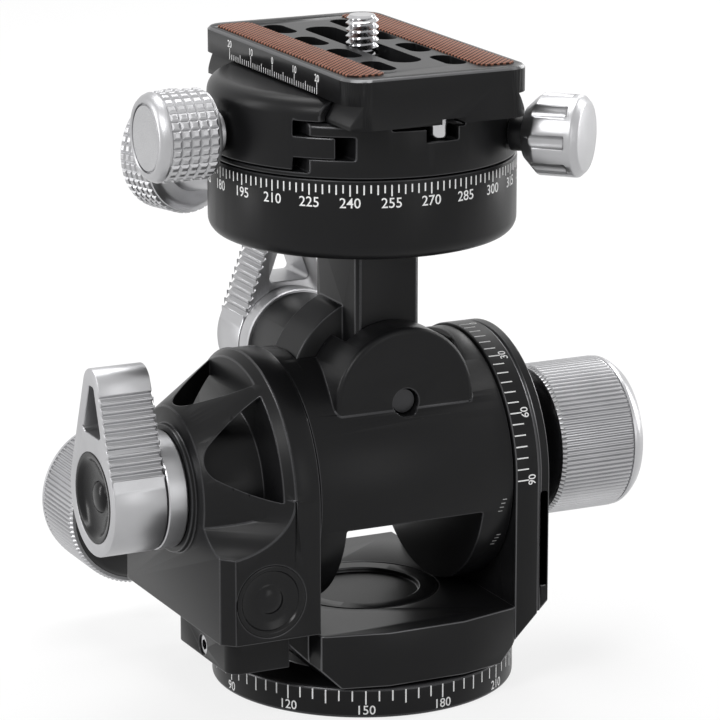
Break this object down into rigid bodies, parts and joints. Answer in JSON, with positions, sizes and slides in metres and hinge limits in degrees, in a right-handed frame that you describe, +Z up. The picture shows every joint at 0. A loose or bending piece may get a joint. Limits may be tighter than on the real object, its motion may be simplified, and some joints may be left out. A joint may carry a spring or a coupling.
{
  "type": "geared tripod head",
  "caption": "Geared tripod head with a two-axis worm-driven yoke and barrel, lock levers, scale rings and a quick-release clamp with a sliding camera plate.",
  "frame": {"origin": "centre of the foot's underside", "axes": "+Z up through the tripod thread, -Y towards the bare front facet of the yoke, +X towards the scaled right tower"},
  "size_m": [0.1133, 0.0973, 0.1323],
  "materials": {
    "black_anodised": "satin black anodised, fine bead blast",
    "silver_aluminium": "bead blasted silver anodised",
    "steel": "polished and plated steel",
    "bronze": "machined bronze",
    "pad_rubber": "matte copper-brown textured rubber"
  },
  "bodies": {
    "foot": {"foot_ring": "black_anodised", "tripod_insert": "steel", "pan_cap": "black_anodised"},
    "yoke": {"yoke_base": "black_anodised", "tower_screws": "steel", "right_tower": "black_anodised", "right_cover_plate": "black_anodised", "left_tower": "black_anodised", "tilt_worm_cap": "black_anodised", "tilt_worm_bushes": "bronze", "tilt_knob_spacer": "black_anodised", "tilt_clamp_collar": "silver_aluminium", "pan_lock_housing": "black_anodised"},
    "pan_lock_screw": {"pan_lock_screw": "steel"},
    "pan_lock_shoe": {"pan_lock_shoe": "bronze"},
    "tilt_drive": {"tilt_worm": "steel", "tilt_knob": "silver_aluminium"},
    "tilt_lever": {"tilt_lever": "silver_aluminium", "tilt_lever_cap": "black_anodised", "tilt_lever_stud": "steel"},
    "barrel": {"tilt_barrel": "black_anodised", "tilt_worm_wheel": "bronze", "swing_worm_bush": "bronze", "swing_knob_spacer": "black_anodised", "swing_clamp_collar": "silver_aluminium"},
    "swing_drive": {"swing_worm": "steel", "swing_knob": "silver_aluminium"},
    "swing_lever": {"swing_lever": "silver_aluminium", "swing_lever_cap": "black_anodised", "swing_lever_stud": "steel"},
    "column": {"swing_column": "black_anodised", "swing_worm_wheel": "bronze", "swing_shaft": "steel", "scale_ring": "black_anodised", "column_bolts": "steel", "ring_set_screws": "steel"},
    "ring_lock": {"ring_lock_knob": "silver_aluminium", "ring_lock_neck": "silver_aluminium", "ring_lock_stem": "steel"},
    "turntable": {"clamp_body": "black_anodised"},
    "jaw": {"clamp_jaw": "black_anodised"},
    "jaw_knob": {"jaw_knob": "silver_aluminium", "jaw_knob_collar": "black_anodised", "jaw_knob_cap": "silver_aluminium", "jaw_screw": "steel"},
    "fluted_knob": {"fluted_knob": "silver_aluminium", "fluted_knob_stem": "black_anodised"},
    "stop_screw": {"plate_stop_screw": "steel"},
    "plate": {"camera_plate": "black_anodised", "plate_pads": "pad_rubber"},
    "screw_washer": {"screw_washer": "steel"},
    "camera_screw": {"camera_screw": "steel"}
  },
  "joints": [
    {"name": "pan", "type": "hinge", "parent": "foot", "child": "yoke", "pos_m": [0, 0, 0.0105], "axis": [0, 0, 1], "continuous": true},
    {"name": "pan_lock_turn", "type": "hinge", "parent": "yoke", "child": "pan_lock_screw", "pos_m": [-0.032, -0.0088, 0.0132], "axis": [1, 0, 0], "range_deg": [0, 180]},
    {"name": "pan_lock_press", "type": "slide", "parent": "yoke", "child": "pan_lock_shoe", "axis": [1, 0, 0], "range_m": [0, 0.00036]},
    {"name": "tilt", "type": "hinge", "parent": "yoke", "child": "barrel", "pos_m": [0, 0, 0.0429], "axis": [1, 0, 0], "range_deg": [-10, 90]},
    {"name": "tilt_knob_turn", "type": "hinge", "parent": "yoke", "child": "tilt_drive", "pos_m": [-0.0313, 0, 0.0259], "axis": [0, 1, 0], "range_deg": [-3240, 360]},
    {"name": "tilt_lever_turn", "type": "hinge", "parent": "yoke", "child": "tilt_lever", "pos_m": [-0.0465, 0, 0.0429], "axis": [1, 0, 0], "range_deg": [-40, 40]},
    {"name": "swing", "type": "hinge", "parent": "barrel", "child": "column", "pos_m": [0, 0, 0.0599], "axis": [0, 1, 0], "range_deg": [-10, 45]},
    {"name": "swing_knob_turn", "type": "hinge", "parent": "barrel", "child": "swing_drive", "pos_m": [0.03, 0, 0.0429], "axis": [1, 0, 0], "range_deg": [-360, 1620]},
    {"name": "swing_lever_turn", "type": "hinge", "parent": "barrel", "child": "swing_lever", "pos_m": [0, 0.0341, 0.0599], "axis": [0, 1, 0], "range_deg": [-40, 40]},
    {"name": "top_pan", "type": "hinge", "parent": "column", "child": "turntable", "pos_m": [0, 0, 0.106], "axis": [0, 0, 1], "continuous": true},
    {"name": "ring_lock_turn", "type": "hinge", "parent": "column", "child": "ring_lock", "pos_m": [-0.00877, 0.02869, 0.0972], "axis": [-0.2924, 0.9563, 0], "range_deg": [-90, 90]},
    {"name": "jaw_slide", "type": "slide", "parent": "turntable", "child": "jaw", "axis": [-1, 0, 0], "range_m": [0, 0.002]},
    {"name": "jaw_knob_turn", "type": "hinge", "parent": "jaw", "child": "jaw_knob", "pos_m": [-0.033, 0, 0.112], "axis": [-1, 0, 0], "range_deg": [0, 720]},
    {"name": "fluted_knob_turn", "type": "hinge", "parent": "turntable", "child": "fluted_knob", "pos_m": [0.02121, -0.02121, 0.1114], "axis": [0.7071, -0.7071, 0], "range_deg": [-90, 90]},
    {"name": "stop_screw_turn", "type": "hinge", "parent": "turntable", "child": "stop_screw", "pos_m": [0.0024, -0.0269, 0.1125], "axis": [0, 0, 1], "continuous": true},
    {"name": "plate_slide", "type": "slide", "parent": "turntable", "child": "plate", "axis": [0, 1, 0], "range_m": [-0.003, 0.003]},
    {"name": "screw_slide", "type": "slide", "parent": "plate", "child": "screw_washer", "axis": [0, 1, 0], "range_m": [-0.01, 0.01]},
    {"name": "camera_screw_turn", "type": "hinge", "parent": "screw_washer", "child": "camera_screw", "pos_m": [0, 0, 0.12], "axis": [0, 0, 1], "continuous": true}
  ],
  "couplings": [
    {"joint": "pan_lock_turn", "follows": "pan_lock_press", "rad_per_m": 8726.6},
    {"joint": "tilt_knob_turn", "follows": "tilt", "ratio": -36},
    {"joint": "swing_knob_turn", "follows": "swing", "ratio": 36},
    {"joint": "jaw_knob_turn", "follows": "jaw_slide", "rad_per_m": 6283.2}
  ]
}
